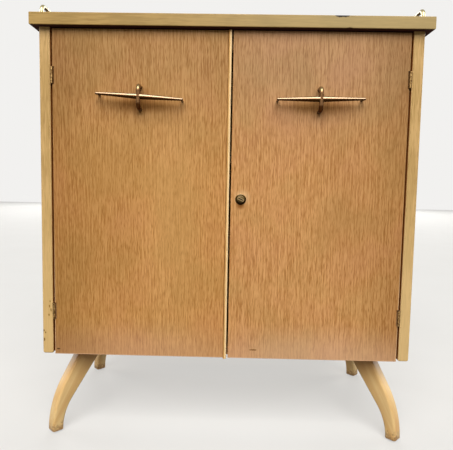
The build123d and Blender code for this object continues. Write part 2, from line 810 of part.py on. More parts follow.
with BuildPart() as lock_housing:
    with BuildSketch(lock_plane):
        Circle(bezel_radius)
    extrude(amount=bezel_proud)
    chamfer(lock_housing.faces().sort_by(Axis.Y)[0].edges(), 1.6)
    with BuildSketch(lock_level(barrel_back)):
        Circle(barrel_radius)
    extrude(amount=barrel_back - body_front)
    with Locations(lock_level(body_front - bezel_proud)):
        Hole(plug_radius + plug_fit)
with BuildPart() as lock_nut:
    with BuildSketch(lock_level(door_back)):
        RegularPolygon(15.5, 6)
        Circle(barrel_radius, mode=Mode.SUBTRACT)
    extrude(amount=-4.0)
with BuildPart() as lock_plug:
    with BuildSketch(lock_level(barrel_back + 1.0)):
        Circle(plug_radius)
    extrude(amount=barrel_back + 1.0 - body_front + plug_proud)
    chamfer(lock_plug.faces().sort_by(Axis.Y)[0].edges(), 0.8)
    with BuildSketch(lock_level(body_front - plug_proud)):
        SlotOverall(keyway_length, keyway_width, rotation=keyway_angle)
    extrude(amount=-16.0, mode=Mode.SUBTRACT)
    with BuildSketch(lock_level(barrel_back + 1.0)):
        Rectangle(tail_width, tail_width)
    extrude(amount=-(cam_thickness + 0.1))
    with BuildSketch(lock_level(cam_front + cam_thickness)):
        Circle(tail_width * 0.7)
    extrude(amount=-1.2)
with BuildPart() as lock_cam:
    with BuildSketch(lock_level(cam_front)):
        Circle(9.0)
        with Locations((0, -cam_length)):
            Circle(6.0)
        make_hull()
        Rectangle(tail_width, tail_width, mode=Mode.SUBTRACT)
    extrude(amount=-cam_thickness)

# Doors: veneered boards with vertical grain; the left one carries the half-round meeting strip
door_edge_radius = 1.0
hinge_recess_width = 4.5
hinge_recess_depth = 6.0
hinge_recess_clear = 1.5


def door_panel(inner_edge, outer_edge):
    """A door board with its front arrises eased and its hinge edge cut back to clear the knuckles."""
    with BuildPart() as panel:
        with BuildSketch(Plane.XY.offset(door_bottom)):
            rectangle_between(min(inner_edge, outer_edge), max(inner_edge, outer_edge), body_front, door_back)
        extrude(amount=door_top - door_bottom)
        fillet(panel.faces().sort_by(Axis.Y)[0].edges(), door_edge_radius)
        recess_edge = outer_edge * (door_half - hinge_recess_width) / door_half
        for hinge_bottom in hinge_bottoms:
            with BuildSketch(Plane.XY.offset(hinge_bottom - hinge_recess_clear)):
                rectangle_between(
                    min(recess_edge, outer_edge),
                    max(recess_edge, outer_edge),
                    body_front,
                    body_front + hinge_recess_depth,
                )
            extrude(amount=hinge_height + 2 * hinge_recess_clear, mode=Mode.SUBTRACT)
    return panel.part


def bolt_holes(x):
    """Planes of the two clearance holes behind one bow."""
    return [facing(x, door_back, handle_height + end * bow_half, back) for end in (-1, 1)]


with BuildPart() as left_door_panel:
    add(door_panel(left_door_edge, -door_half))
    with Locations(*bolt_holes(-handle_x)):
        Hole(bolt_hole_radius, door_thickness)
    add(left_hinge_door_screws.part, mode=Mode.SUBTRACT)
    add(left_handle_bar.part, mode=Mode.SUBTRACT)
    add(left_fitting_screws.part, mode=Mode.SUBTRACT)
with BuildPart() as right_door_panel:
    add(door_panel(right_door_edge, door_half))
    with Locations(*bolt_holes(handle_x)):
        Hole(bolt_hole_radius, door_thickness)
    with Locations(lock_plane):
        Hole(barrel_radius, door_thickness)
    add(right_hinge_door_screws.part, mode=Mode.SUBTRACT)
    add(right_handle_bar.part, mode=Mode.SUBTRACT)
    add(right_fitting_screws.part, mode=Mode.SUBTRACT)

strip_radius = strip_width / 2
strip_crown = body_front - strip_proud
with BuildPart() as meeting_strip:
    with BuildSketch(Plane.XY.offset(door_bottom - strip_drop)):
        with BuildLine():
            Polyline(
                (left_door_edge, strip_crown + strip_radius),
                (left_door_edge, door_back),
                (strip_edge, door_back),
                (strip_edge, strip_crown + strip_radius),
            )
            ThreePointArc(
                (strip_edge, strip_crown + strip_radius),
                ((left_door_edge + strip_edge) / 2, strip_crown),
                (left_door_edge, strip_crown + strip_radius),
            )
        make_face()
    extrude(amount=door_top - door_bottom + strip_drop)
    chamfer(meeting_strip.faces().sort_by(Axis.Z)[0].edges(), 1.5)

finished = {
    "top_panel": top_panel,
    "top_front_lipping": top_front_lipping,
    "top_left_lipping": top_left_lipping,
    "top_right_lipping": top_right_lipping,
    "left_side_panel": left_side_panel,
    "right_side_panel": right_side_panel,
    "left_side_lipping": left_side_lipping,
    "right_side_lipping": right_side_lipping,
    "floor_panel": floor_panel,
    "back_panel": back_panel,
    "back_panel_screws": back_panel_screws,
    "front_top_rail": front_top_rail,
    "rear_top_rail": rear_top_rail,
    "top_screws": top_screws,
    "case_dowels": case_dowels,
    "lower_shelf": lower_shelf,
    "upper_shelf": upper_shelf,
    "shelf_supports": shelf_supports,
    "front_left_leg": front_left_leg,
    "front_right_leg": front_right_leg,
    "back_left_leg": back_left_leg,
    "back_right_leg": back_right_leg,
    "leg_blocks": leg_blocks,
    "leg_block_screws": leg_block_screws,
    "leg_bolts": leg_bolts,
    "leg_glides": leg_glides,
    "left_gallery_rail": left_gallery_rail,
    "right_gallery_rail": right_gallery_rail,
    "gallery_rosettes": gallery_rosettes,
    "hinge_frame_leaves": hinge_frame_leaves,
    "hinge_frame_screws": hinge_frame_screws,
    "hinge_pins": hinge_pins,
    "magnetic_catches": magnetic_catches,
    "catch_screws": catch_screws,
    "bolt_keeper": bolt_keeper,
    "door_buffers": door_buffers,
    "left_door_panel": left_door_panel,
    "meeting_strip": meeting_strip,
    "left_hinge_door_leaves": left_hinge_door_leaves,
    "left_hinge_door_screws": left_hinge_door_screws,
    "left_handle_bow": left_handle_bow,
    "left_handle_bar": left_handle_bar,
    "left_handle_screws": left_handle_screws,
    "left_catch_plate": left_catch_plate,
    "left_fitting_screws": left_fitting_screws,
    "lock_keeper": lock_keeper,
    "bolt_plate": bolt_plate,
    "left_door_bolt": left_door_bolt,
    "right_door_panel": right_door_panel,
    "right_hinge_door_leaves": right_hinge_door_leaves,
    "right_hinge_door_screws": right_hinge_door_screws,
    "right_handle_bow": right_handle_bow,
    "right_handle_bar": right_handle_bar,
    "right_handle_screws": right_handle_screws,
    "right_catch_plate": right_catch_plate,
    "right_fitting_screws": right_fitting_screws,
    "lock_housing": lock_housing,
    "lock_nut": lock_nut,
    "lock_plug": lock_plug,
    "lock_cam": lock_cam,
}
for name, piece in finished.items():
    piece.part.label = name
    export_step(piece.part, f"parts/{name}.step")
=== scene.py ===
import bpy
import math
from mathutils import Matrix, Vector


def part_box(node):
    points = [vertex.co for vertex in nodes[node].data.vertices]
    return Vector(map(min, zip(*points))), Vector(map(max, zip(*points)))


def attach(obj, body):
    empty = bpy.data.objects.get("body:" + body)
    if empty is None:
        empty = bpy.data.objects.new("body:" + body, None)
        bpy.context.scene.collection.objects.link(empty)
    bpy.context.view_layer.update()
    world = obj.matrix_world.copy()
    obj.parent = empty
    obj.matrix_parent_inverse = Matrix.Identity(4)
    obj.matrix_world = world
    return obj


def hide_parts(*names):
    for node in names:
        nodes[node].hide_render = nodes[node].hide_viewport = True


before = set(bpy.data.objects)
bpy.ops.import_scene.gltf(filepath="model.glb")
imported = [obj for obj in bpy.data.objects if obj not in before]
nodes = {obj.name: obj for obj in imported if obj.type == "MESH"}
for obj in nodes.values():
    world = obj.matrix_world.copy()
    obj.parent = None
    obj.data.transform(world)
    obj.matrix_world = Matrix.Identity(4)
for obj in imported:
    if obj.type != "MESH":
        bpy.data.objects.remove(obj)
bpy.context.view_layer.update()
scene = bpy.context.scene
scene.view_settings.view_transform = "Standard"


# ---------------------------------------------------------------------------
# The camera stands a little over a metre in front of the doors, at three
# fifths of the cabinet's height, and looks slightly down. It is held about a
# degree out of level.
# ---------------------------------------------------------------------------
eye = Vector((0.0079, -1.3119, 0.6238))
turn_left, tilt_up, roll = 0.0167, -0.0832, 0.0183  # radians
lens_length, film_width = 37.48, 36.0  # millimetres
shift_right, shift_up = 0.0085, -0.0046  # parts of the film's width
nearest, farthest = 0.01, 60.0

ahead = Vector((
    -math.sin(turn_left) * math.cos(tilt_up),
    math.cos(turn_left) * math.cos(tilt_up),
    math.sin(tilt_up),
))
level = Vector((math.cos(turn_left), math.sin(turn_left), 0))
over = level.cross(ahead)
across = math.cos(roll) * level + math.sin(roll) * over
above = math.cos(roll) * over - math.sin(roll) * level
camera = bpy.data.objects.new("camera", bpy.data.cameras.new("camera"))
camera.matrix_world = Matrix.Translation(eye) @ Matrix((across, above, -ahead)).transposed().to_4x4()
camera.data.lens = lens_length
camera.data.sensor_width = film_width
camera.data.shift_x, camera.data.shift_y = shift_right, shift_up
camera.data.clip_start, camera.data.clip_end = nearest, farthest
scene.collection.objects.link(camera)
scene.camera = camera


# ---------------------------------------------------------------------------
# The top: a board veneered in oak with its grain from end to end, and solid
# oak lippings mitred round the front and both ends. All of it is under one
# thin coat of satin lacquer, which has yellowed.
# ---------------------------------------------------------------------------
def linear(hex_colour):
    """An sRGB hex colour as the linear RGBA that shaders take."""
    parts = [int(hex_colour[i:i + 2], 16) / 255 for i in (1, 3, 5)]
    return [p / 12.92 if p <= 0.04045 else ((p + 0.055) / 1.055) ** 2.4 for p in parts] + [1.0]


def per_metre(spacing):
    """How often a pattern repeats in a metre, to two figures, from its spacing in millimetres."""
    return float("%.2g" % (1000 / spacing))


def put_on(tree, node, values):
    """Put values or links on a node's inputs."""
    for place, value in values.items():
        if isinstance(value, bpy.types.NodeSocket):
            tree.links.new(value, node.inputs[place])
        else:
            node.inputs[place].default_value = value


def add_node(tree, kind, values=None, **settings):
    """A shader node with its settings, and with values or links put on its inputs."""
    node = tree.nodes.new("ShaderNode" + kind)
    for name, value in settings.items():
        setattr(node, name, value)
    put_on(tree, node, values or {})
    return node


def new_finish(name):
    """An empty material with a Principled shader, ready for its pattern."""
    finish = bpy.data.materials.new(name)
    finish.use_nodes = True
    tree = finish.node_tree
    tree.nodes.clear()
    surface = add_node(tree, "BsdfPrincipled")
    add_node(tree, "OutputMaterial", {"Surface": surface.outputs["BSDF"]})
    return finish, tree, surface


def opened(finish):
    """A finish's node tree, its Principled shader and the colour it has so far, for more to be added."""
    tree = finish.node_tree
    surface = next(n for n in tree.nodes if n.type == "BSDF_PRINCIPLED")
    return tree, surface, surface.inputs["Base Color"].links[0].from_socket


# The Mix node numbers its sockets for all its types together; these are the ones for colours.
MIX_FACTOR, MIX_A, MIX_B, MIX_RESULT = 0, 6, 7, 2


def blend_colours(tree, share, first, second, how="MIX"):
    """One colour over another, by a share from 0 to 1."""
    layers = {MIX_FACTOR: share, MIX_A: first, MIX_B: second}
    return add_node(tree, "Mix", layers, data_type="RGBA", blend_type=how).outputs[MIX_RESULT]


def between(tree, value, low, high):
    """0 where a value is at low, 1 where it is at high, and a smooth slope between them."""
    span = {"Value": value, "From Min": low, "From Max": high}
    return add_node(tree, "MapRange", span, interpolation_type="SMOOTHSTEP").outputs["Result"]


def times(tree, value, other):
    """Two shares multiplied."""
    return add_node(tree, "Math", {0: value, 1: other}, operation="MULTIPLY").outputs[0]


def lay_over(tree, under, colour, where, most=1.0):
    """A colour laid over what is under it where a pattern is 1, at most to a given share."""
    share = where if most == 1.0 else times(tree, where, most)
    return blend_colours(tree, share, under, linear(colour))


def board_space(tree, grain, shrink, attribute=None):
    """The place on the board in metres, and the same with the grain's direction shortened, which draws
    patterns out along it. The grain wanders by a millimetre or two."""
    if attribute:
        place = add_node(tree, "Attribute", attribute_name=attribute).outputs["Vector"]
    else:
        place = add_node(tree, "TexCoord").outputs["Object"]
    sway = add_node(
        tree, "TexNoise", {"Vector": place, "Scale": per_metre(167), "Detail": 2.0},
    ).outputs["Color"]
    swing = add_node(tree, "VectorMath", {0: sway, 1: (0.5, 0.5, 0.5)}, operation="SUBTRACT").outputs[0]
    wander = [0.005, 0.005, 0.005]
    wander["XYZ".index(grain)] = 0.0
    drift = add_node(tree, "VectorMath", {0: swing, 1: wander}, operation="MULTIPLY").outputs[0]
    bent = add_node(tree, "VectorMath", {0: place, 1: drift}, operation="ADD").outputs[0]
    scale = [1.0, 1.0, 1.0]
    scale["XYZ".index(grain)] = shrink
    along = add_node(tree, "Mapping", {"Vector": bent, "Scale": scale}).outputs["Vector"]
    return place, along


def oak_veneer(name, grain, light, dark, olive, pink):
    """Rift-cut oak under satin lacquer: fine fibres and dark pores, with faint rings 8 mm apart and faint
    clouds of colour. Real pores are 0.3 mm wide, too fine to show, so they are drawn 1.5 mm apart."""
    rings_8_mm_apart = 80.0
    finish, tree, surface = new_finish(name)
    place, along = board_space(tree, grain, shrink=0.030)
    _, short = board_space(tree, grain, shrink=0.095)
    ring = add_node(
        tree, "TexWave",
        {"Vector": along, "Scale": rings_8_mm_apart, "Distortion": 5.0, "Detail": 2.0, "Detail Scale": 1.5},
        bands_direction="DIAGONAL",
    ).outputs["Fac"]
    fibre = add_node(
        tree, "TexNoise", {"Vector": along, "Scale": per_metre(1.6), "Detail": 1.0},
    ).outputs["Fac"]
    pore = add_node(
        tree, "TexNoise", {"Vector": short, "Scale": per_metre(1.47), "Detail": 1.0},
    ).outputs["Fac"]
    cloud = add_node(
        tree, "TexNoise", {"Vector": place, "Scale": per_metre(143), "Detail": 4.0},
    ).outputs["Fac"]
    figure = add_node(tree, "Math", {0: ring, 1: 0.12, 2: fibre}, operation="MULTIPLY_ADD").outputs[0]
    tone = add_node(tree, "Math", {0: pore, 1: 0.8, 2: figure}, operation="MULTIPLY_ADD").outputs[0]
    wood = blend_colours(tree, between(tree, tone, 0.68, 1.22), linear(dark), linear(light))
    wood = lay_over(tree, wood, olive, between(tree, cloud, 0.54, 0.34), 0.34)
    wood = lay_over(tree, wood, pink, between(tree, cloud, 0.48, 0.70), 0.34)
    wood = lay_over(tree, wood, "#7A4A1C", between(tree, pore, 0.40, 0.28), 0.30)
    rough = add_node(tree, "MapRange", {"Value": pore, "To Min": 0.60, "To Max": 0.44}).outputs[0]
    bump = add_node(tree, "Bump", {"Height": pore, "Strength": 0.3, "Distance": 0.0004}).outputs[0]
    put_on(tree, surface, {
        "Base Color": wood, "Roughness": rough, "Normal": bump, "IOR": 1.5, "Specular IOR Level": 0.15,
    })
    return finish


def facing_share(tree, axis, start, full):
    """How far faces look along an axis: 0 where the normal's part along it is start, 1 where it is full."""
    normal = add_node(tree, "SeparateXYZ", {0: add_node(tree, "TexCoord").outputs["Normal"]}).outputs[axis]
    return between(tree, normal, start, full)


def stain_faces(finish, *stains):
    """Colour the faces that look straight one way, and leave them dull; a stain is an axis, which way along
    it the faces look, and a colour."""
    tree, surface, wood = opened(finish)
    rough = surface.inputs["Roughness"].links[0].from_socket
    for axis, way, colour in stains:
        share = facing_share(tree, axis, way * 0.75, way * 0.95)
        wood = lay_over(tree, wood, colour, share)
        rough = add_node(tree, "Math", {0: share, 1: rough}, operation="MAXIMUM").outputs[0]
    put_on(tree, surface, {"Base Color": wood, "Roughness": rough})


def spread(tree, place, middle, reach):
    """The distance from a point, as a part of a reach that may differ along each axis."""
    offset = add_node(tree, "VectorMath", {0: place, 1: middle}, operation="SUBTRACT").outputs[0]
    scaled = add_node(tree, "VectorMath", {0: offset, 1: reach}, operation="DIVIDE").outputs[0]
    return add_node(tree, "VectorMath", {0: scaled}, operation="LENGTH").outputs["Value"]


def worn_spot(tree, place, middle, reach):
    """A ragged spot for a chip or a scuff: 1 in its middle, and 0 past its reach."""
    ragged = add_node(
        tree, "TexNoise", {"Vector": place, "Scale": per_metre(3.8), "Detail": 3.0},
    ).outputs["Fac"]
    edge = add_node(
        tree, "Math", {0: spread(tree, place, middle, reach), 1: ragged}, operation="ADD",
    ).outputs[0]
    return between(tree, edge, 1.5, 1.2)


# Painted shade: undersides are painted near black, where shade falls under the overhang.
underside_painted_shade = "#300E02"
# Painted shade: faces inside the gaps between parts are painted brown.
gap_painted_shade = "#9A5A20"


def solid_oak(name, grain, light, dark, marks=(), gap_side=0, fade=None):
    """Straight-grained oak under satin lacquer: pale, with painted shade that makes it dark brown underneath
    and brown on its faces in a gap beside it. Its pores, 0.3 mm wide, are drawn 1.4 mm apart so that they
    show. A mark is a worn spot, and a fade is a slow change of colour along an axis, from one place to
    another."""
    finish, tree, surface = new_finish(name)
    place, along = board_space(tree, grain, shrink=0.05)
    streak = add_node(
        tree, "TexNoise", {"Vector": along, "Scale": per_metre(3.3), "Detail": 2.0},
    ).outputs["Fac"]
    patch = add_node(
        tree, "TexNoise", {"Vector": place, "Scale": per_metre(91), "Detail": 3.0},
    ).outputs["Fac"]
    pore = add_node(
        tree, "TexNoise", {"Vector": along, "Scale": per_metre(1.43), "Detail": 1.0},
    ).outputs["Fac"]
    tone = add_node(tree, "Math", {0: patch, 1: 0.7, 2: streak}, operation="MULTIPLY_ADD").outputs[0]
    wood = blend_colours(tree, between(tree, tone, 0.68, 1.02), linear(dark), linear(light))
    wood = lay_over(tree, wood, "#8A6632", between(tree, pore, 0.48, 0.32), 0.40)
    if fade:
        axis, start, full, most, colour = fade
        travelled = add_node(tree, "SeparateXYZ", {0: place}).outputs[axis]
        wood = lay_over(tree, wood, colour, between(tree, travelled, start, full), most)
    for middle, reach, colour in marks:
        wood = lay_over(tree, wood, colour, worn_spot(tree, place, middle, reach))
    rough = add_node(tree, "MapRange", {"Value": patch, "To Min": 0.34, "To Max": 0.50}).outputs[0]
    bump = add_node(tree, "Bump", {"Height": streak, "Strength": 0.2, "Distance": 0.0003}).outputs[0]
    put_on(tree, surface, {
        "Base Color": wood, "Roughness": rough, "Normal": bump, "IOR": 1.5, "Specular IOR Level": 0.2,
    })
    # Painted shade: the underside is painted near black.
    stain_faces(finish, ("Z", -1, underside_painted_shade))
    # Painted shade: the faces in the gap beside the lipping are painted brown.
    if gap_side:
        stain_faces(finish, ("X", gap_side, gap_painted_shade))
    return finish


def dress(finish, *names):
    """Put a finish on CAD nodes."""
    for name in names:
        nodes[name].data.materials.clear()
        nodes[name].data.materials.append(finish)


chips_on_front_edges = (
    ((0.250, -0.2205, 1.0030), (0.020, 0.010, 0.0052), "#22160A"),
    ((0.266, -0.2205, 0.9754), (0.007, 0.005, 0.0018), "#5A4220"),
)
paler_to_the_right = ("X", -0.35, 0.35, 0.5, "#AE9D70")

top_oak = oak_veneer("top_oak_veneer", "X", "#CFA56C", "#B48A54", "#B89858", "#C89A70")
# Painted shade: the top's underside is painted near black.
stain_faces(top_oak, ("Z", -1, underside_painted_shade))
dress(top_oak, "top_panel")
dress(
    solid_oak(
        "front_lipping_oak", "X", "#B18F51", "#9E7F43",
        marks=chips_on_front_edges, fade=paler_to_the_right,
    ),
    "top_front_lipping",
)
dress(solid_oak("end_lipping_oak", "Y", "#B1925A", "#9E824C"), "top_left_lipping", "top_right_lipping")


# ---------------------------------------------------------------------------
# The case: oak-veneered sides with the grain upright, and oak lippings glued
# down their front edges. The floor, shelves, rails and back, which only an
# open door or the rear shows, are plainer. The left side is scuffed low down.
# ---------------------------------------------------------------------------
scuffs_on_left_side = (
    ((-0.4240, -0.204, 0.322), (0.0020, 0.004, 0.0036), "#96702C"),
    ((-0.4205, -0.204, 0.313), (0.0018, 0.004, 0.0044), "#8E682E"),
    ((-0.4255, -0.204, 0.301), (0.0020, 0.004, 0.0034), "#96702C"),
    ((-0.4225, -0.204, 0.334), (0.0017, 0.004, 0.0030), "#9A7636"),
    ((-0.4380, -0.204, 0.262), (0.0022, 0.004, 0.0034), "#86642C"),
    ((-0.4345, -0.204, 0.257), (0.0018, 0.004, 0.0026), "#86642C"),
    ((-0.4370, -0.204, 0.240), (0.0020, 0.004, 0.0046), "#7E5E2C"),
)
# Painted light: the side lippings are painted paler low down, as if lit more strongly there.
left_painted_light_low_down = ("Z", 0.75, 0.25, 0.6, "#DEBA7C")
right_painted_light_low_down = ("Z", 0.75, 0.25, 0.6, "#E0BE84")

dress(
    oak_veneer("side_oak_veneer", "Z", "#CFA368", "#B08650", "#B4925A", "#C4946A"),
    "left_side_panel", "right_side_panel",
)
dress(
    solid_oak(
        "left_side_solid_oak", "Z", "#CCA66C", "#B8945A",
        marks=scuffs_on_left_side, gap_side=1, fade=left_painted_light_low_down,
    ),
    "left_side_lipping",
)
dress(
    solid_oak("right_side_solid_oak", "Z", "#CCA66C", "#B8945A", gap_side=-1, fade=right_painted_light_low_down),
    "right_side_lipping",
)
dress(
    oak_veneer("inside_oak_veneer", "X", "#D2AC78", "#B89060", "#BA9A66", "#C89E74"),
    "floor_panel", "lower_shelf", "upper_shelf",
)


def softwood():
    """Planed spruce, unfinished: soft bands of early and late wood. Real ones are 2 mm wide, and these are
    drawn 6 mm wide so that they show."""
    finish, tree, surface = new_finish("rail_spruce")
    _, along = board_space(tree, "X", shrink=0.06)
    ring = add_node(
        tree, "TexNoise", {"Vector": along, "Scale": per_metre(6.2), "Detail": 2.0},
    ).outputs["Fac"]
    wood = blend_colours(tree, between(tree, ring, 0.4, 0.6), linear("#CDB083"), linear("#B68F5C"))
    bump = add_node(tree, "Bump", {"Height": ring, "Strength": 0.2, "Distance": 0.0003}).outputs[0]
    put_on(tree, surface, {"Base Color": wood, "Normal": bump, "Roughness": 0.72})
    return finish


def hardboard():
    """Hot-pressed wood fibre, brown and matt, with its rough side outwards. The screen's print is drawn
    1.4 mm apart, where the real mesh is about 1 mm."""
    finish, tree, surface = new_finish("hardboard")
    place = add_node(tree, "TexCoord").outputs["Object"]
    fluff = add_node(
        tree, "TexNoise", {"Vector": place, "Scale": per_metre(1.11), "Detail": 4.0, "Roughness": 0.7},
    ).outputs["Fac"]
    cloud = add_node(
        tree, "TexNoise", {"Vector": place, "Scale": per_metre(71), "Detail": 3.0},
    ).outputs["Fac"]
    speck = add_node(tree, "Math", {0: cloud, 1: 0.35, 2: fluff}, operation="MULTIPLY_ADD").outputs[0]
    brown = blend_colours(tree, between(tree, speck, 0.45, 0.90), linear("#74502E"), linear("#90693F"))
    screen = add_node(tree, "TexVoronoi", {"Vector": place, "Scale": per_metre(1.43)}).outputs["Distance"]
    bump = add_node(tree, "Bump", {"Height": screen, "Strength": 0.4, "Distance": 0.0004}).outputs[0]
    put_on(tree, surface, {"Base Color": brown, "Normal": bump, "Roughness": 0.8})
    return finish


dress(softwood(), "front_top_rail", "rear_top_rail", "case_dowels", "leg_blocks")
dress(hardboard(), "back_panel")


# ---------------------------------------------------------------------------
# Sabre legs: sawn to a curve from beech plank, rounded along their edges and
# splayed to the corners. The grain runs straight through the plank, so it
# runs out at the curve. The feet are scuffed and dirty.
# ---------------------------------------------------------------------------
foot_from_middle = (0.420, 0.1975)
foot_bottom, leg_top = 0.003, 0.194
half_foot = 0.014
leg_half_width = 0.015
outer_bend, outer_turn = 0.235, math.radians(32)
inner_bend, inner_turn = 0.125, math.radians(38)
edge_radius, edge_steps = 0.006, 5
foot_chamfer = 0.0012
first_station, leg_stations = 0.012, 44
# Heights over which painted shade browns the top of each leg under the case.
painted_shade_from, painted_shade_fully = 0.110, 0.205
dirt_from, dirt_fully = 0.000, -0.020
sharp_edge = math.radians(35)
plank_cos, plank_sin = 0.85, 0.53  # the grain leans 32 degrees from upright
next_leg_across, next_leg_along = 0.31, 0.17  # each leg is cut from its own part of the plank

case_front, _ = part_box("left_side_lipping")
_, case_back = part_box("left_side_panel")
middle_y = (case_front.y + case_back.y) / 2


def bent_edge(start, bend, turn, share):
    """A point on a long edge of the leg's outline: an arc inwards from the foot, then straight to the top."""
    arc = bend * turn
    arc_end = Vector((start + bend * (1 - math.cos(turn)), foot_bottom + bend * math.sin(turn)))
    run = (leg_top - arc_end.y) / math.cos(turn)
    travel = share * (arc + run)
    if travel <= arc:
        angle = travel / bend
        return Vector((start + bend * (1 - math.cos(angle)), foot_bottom + bend * math.sin(angle)))
    return arc_end + (travel - arc) * Vector((math.sin(turn), math.cos(turn)))


def leg_section(half_depth, half_width, radius):
    """Points round a rectangle with rounded corners, as depth and width from its middle."""
    ring = []
    for quarter, (dx, dy) in enumerate(((1, 1), (-1, 1), (-1, -1), (1, -1))):
        for step in range(edge_steps + 1):
            angle = math.radians(90 * quarter + 90 * step / edge_steps)
            ring.append((
                dx * (half_depth - radius) + radius * math.cos(angle),
                dy * (half_width - radius) + radius * math.sin(angle),
            ))
    return ring


def skin_rings(rings):
    """The points of equal closed rings, and faces between the rings and across both ends."""
    size = len(rings[0])
    faces = [list(range(size))[::-1]]
    for row in range(len(rings) - 1):
        for i in range(size):
            j = (i + 1) % size
            faces.append([row * size + i, row * size + j, (row + 1) * size + j, (row + 1) * size + i])
    faces.append([(len(rings) - 1) * size + i for i in range(size)])
    return [p for ring in rings for p in ring], faces


def sabre_leg(name, node, side, end, finish):
    """One leg; side is -1 at the left and end is -1 at the front."""
    inwards = Vector((-side, -end, 0)).normalized()
    sideways = Vector((0, 0, 1)).cross(inwards)
    foot = Vector((side * foot_from_middle[0], middle_y + end * foot_from_middle[1], 0))
    # Each station is its share of the leg's length, how far it is drawn in, and how far it is lifted.
    stations = [(0.0, foot_chamfer, 0.0), (0.0, 0.0, foot_chamfer)]
    for i in range(leg_stations + 1):
        stations.append((first_station + (1 - first_station) * i / leg_stations, 0.0, 0.0))
    rings, plank = [], []
    for share, inset, lift in stations:
        outside = bent_edge(-half_foot, outer_bend, outer_turn, share)
        inside = bent_edge(half_foot, inner_bend, inner_turn, share)
        outside.y += lift
        inside.y += lift
        middle = (outside + inside) / 2
        depth = (inside - outside) / 2
        direction = depth.normalized()
        section = leg_section(depth.length - inset, leg_half_width - inset, edge_radius - inset)
        ring = []
        for from_middle, width in section:
            flat = middle + direction * from_middle
            ring.append(foot + inwards * flat.x + sideways * width + Vector((0, 0, flat.y)))
            plank.append((
                flat.x * plank_cos - flat.y * plank_sin,
                width + side * next_leg_across + end * next_leg_along,
                flat.x * plank_sin + flat.y * plank_cos,
            ))
        rings.append(ring)
    points, faces = skin_rings(rings)
    mesh = bpy.data.meshes.new(name)
    mesh.from_pydata([tuple(p) for p in points], [], faces)
    mesh.materials.append(finish)
    mesh.shade_smooth()
    mesh.set_sharp_from_angle(angle=sharp_edge)
    store = mesh.attributes.new("plank", "FLOAT_VECTOR", "POINT")
    store.data.foreach_set("vector", [value for spot in plank for value in spot])
    leg = bpy.data.objects.new(name, mesh)
    scene.collection.objects.link(leg)
    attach(leg, "case")
    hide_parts(node)


def leg_beech():
    """Lacquered beech: smooth pale gold, with painted shade that browns the top of the leg under the case;
    the foot has lost its lacquer and taken up dirt. The fine streaks are drawn 3 mm apart, where real ones
    are under 1 mm."""
    finish, tree, surface = new_finish("leg_beech")
    _, along = board_space(tree, "Z", shrink=0.04, attribute="plank")
    streak = add_node(
        tree, "TexNoise", {"Vector": along, "Scale": per_metre(3.3), "Detail": 3.0},
    ).outputs["Fac"]
    figure = add_node(
        tree, "TexNoise", {"Vector": along, "Scale": per_metre(20), "Detail": 1.0},
    ).outputs["Fac"]
    tone = add_node(tree, "Math", {0: streak, 1: 0.5, 2: figure}, operation="MULTIPLY_ADD").outputs[0]
    where = add_node(tree, "TexCoord").outputs["Object"]
    height = add_node(tree, "SeparateXYZ", {0: where}).outputs["Z"]
    cloud = add_node(
        tree, "TexNoise", {"Vector": where, "Scale": per_metre(42), "Detail": 3.0},
    ).outputs["Fac"]
    grime = add_node(
        tree, "TexNoise", {"Vector": where, "Scale": per_metre(6.7), "Detail": 4.0},
    ).outputs["Fac"]
    above_dirt = add_node(tree, "Math", {0: grime, 1: -0.050, 2: height}, operation="MULTIPLY_ADD").outputs[0]
    wood = blend_colours(tree, between(tree, tone, 0.50, 1.0), linear("#D8AC6D"), linear("#E5C387"))
    wood = lay_over(tree, wood, "#D9A06A", between(tree, cloud, 0.52, 0.70), 0.30)
    # Painted shade: browner towards the top of the leg, under the case.
    wood = lay_over(tree, wood, "#A87434", between(tree, height, painted_shade_from, painted_shade_fully), 0.60)
    wood = lay_over(tree, wood, "#8A6038", between(tree, above_dirt, dirt_from, dirt_fully), 0.75)
    rough = add_node(tree, "MapRange", {"Value": cloud, "To Min": 0.34, "To Max": 0.50}).outputs[0]
    bump = add_node(tree, "Bump", {"Height": streak, "Strength": 0.15, "Distance": 0.0003}).outputs[0]
    put_on(tree, surface, {
        "Base Color": wood, "Roughness": rough, "Normal": bump, "IOR": 1.5, "Specular IOR Level": 0.35,
    })
    return finish


beech = leg_beech()
sabre_leg("front_left_sabre_leg", "front_left_leg", -1, -1, beech)
sabre_leg("front_right_sabre_leg", "front_right_leg", 1, -1, beech)
sabre_leg("back_left_sabre_leg", "back_left_leg", -1, 1, beech)
sabre_leg("back_right_sabre_leg", "back_right_leg", 1, 1, beech)


# ---------------------------------------------------------------------------
# Steel fixings: countersunk wood screws, the bolts that hold the legs, shelf
# pegs, catch plates, foot glides, and the lock's nut and cam. They are
# pressed or turned from steel and zinc plated, and age has dulled them.
# ---------------------------------------------------------------------------
def zinc_plate():
    """Zinc-plated steel: grey with a cloudy bloom, neither bright nor rusty."""
    finish, tree, surface = new_finish("zinc_plated_steel")
    place = add_node(tree, "TexCoord").outputs["Object"]
    bloom = add_node(
        tree, "TexNoise", {"Vector": place, "Scale": per_metre(2.86), "Detail": 3.0},
    ).outputs["Fac"]
    grey = blend_colours(tree, between(tree, bloom, 0.35, 0.65), linear("#8E8C86"), linear("#B9B7B0"))
    rough = add_node(tree, "MapRange", {"Value": bloom, "To Min": 0.28, "To Max": 0.5}).outputs[0]
    put_on(tree, surface, {"Base Color": grey, "Roughness": rough, "Metallic": 1.0})
    return finish


dress(
    zinc_plate(),
    "top_screws", "back_panel_screws", "leg_block_screws", "leg_bolts", "leg_glides", "shelf_supports",
    "catch_screws", "left_handle_screws", "right_handle_screws", "left_catch_plate", "right_catch_plate",
    "lock_nut", "lock_cam",
)
